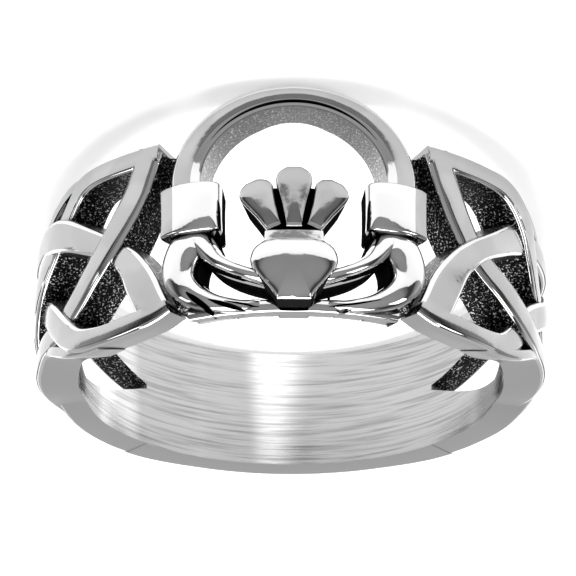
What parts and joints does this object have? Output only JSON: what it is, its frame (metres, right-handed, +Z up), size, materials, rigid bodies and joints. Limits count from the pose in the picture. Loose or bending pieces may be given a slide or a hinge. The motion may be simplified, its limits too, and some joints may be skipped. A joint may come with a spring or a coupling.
{
  "type": "claddagh ring with pierced knotwork shoulders",
  "caption": "Cast silver finger ring: two hands hold a crowned heart inside an arch, and pierced interlaced knotwork shoulders run into a plain shank.",
  "frame": {"origin": "on the table under the middle of the ring's bounding box, as the ring lies on its crown side", "axes": "+Y from the head (heart and crown) to the plain back of the shank, +X along the ring's width, +Z up from the table"},
  "size_m": [0.021, 0.0214, 0.0099],
  "materials": {
    "silver": "polished cast silver with blackened recesses"
  },
  "bodies": {
    "root": {"ring": "silver"}
  },
  "joints": []
}
